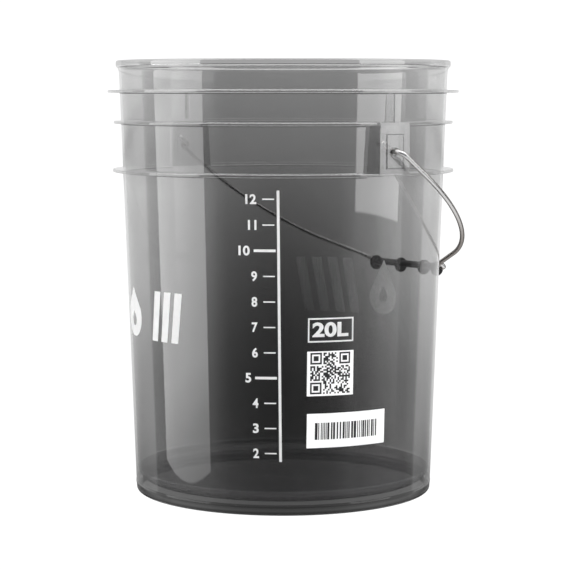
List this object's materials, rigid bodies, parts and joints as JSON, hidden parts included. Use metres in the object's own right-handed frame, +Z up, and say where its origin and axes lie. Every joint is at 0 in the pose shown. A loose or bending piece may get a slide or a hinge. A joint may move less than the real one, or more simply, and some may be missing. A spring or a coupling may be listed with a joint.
{
  "type": "bucket",
  "caption": "Tall round clear plastic wash bucket with stiffening rings, ear boxes, a steel wire bail that swings, a turning comb grip and printed volume marks.",
  "frame": {"origin": "centre of the foot, on the floor", "axes": "+Z up along the bucket's axis; the litre scale faces -Y; the bail is stored to the back right and its pivot axis runs 38 degrees to the right of -Y"},
  "size_m": [0.303, 0.3081, 0.368],
  "materials": {
    "smoke_plastic": "gloss, see-through smoke grey",
    "steel_wire": "bright zinc-plated wire",
    "black_plastic": "moulded, satin",
    "white_ink": "screen print",
    "label_film": "satin vinyl"
  },
  "bodies": {
    "bucket": {"bucket_shell": "smoke_plastic", "scale_print": "white_ink", "capacity_mark": "white_ink", "code_label": "label_film", "barcode_label": "label_film", "front_emblem": "white_ink", "rear_emblem": "white_ink"},
    "bail": {"bail_wire": "steel_wire"},
    "grip": {"handle_grip": "black_plastic"}
  },
  "joints": [
    {"name": "bail_swing", "type": "hinge", "parent": "bucket", "child": "bail", "pos_m": [0, 0, 0.294], "axis": [0.6157, -0.788, 0], "range_deg": [0, 254]},
    {"name": "grip_spin", "type": "hinge", "parent": "bail", "child": "grip", "pos_m": [0.11267, 0.08803, 0.18625], "axis": [0.6157, -0.788, 0], "continuous": true}
  ]
}
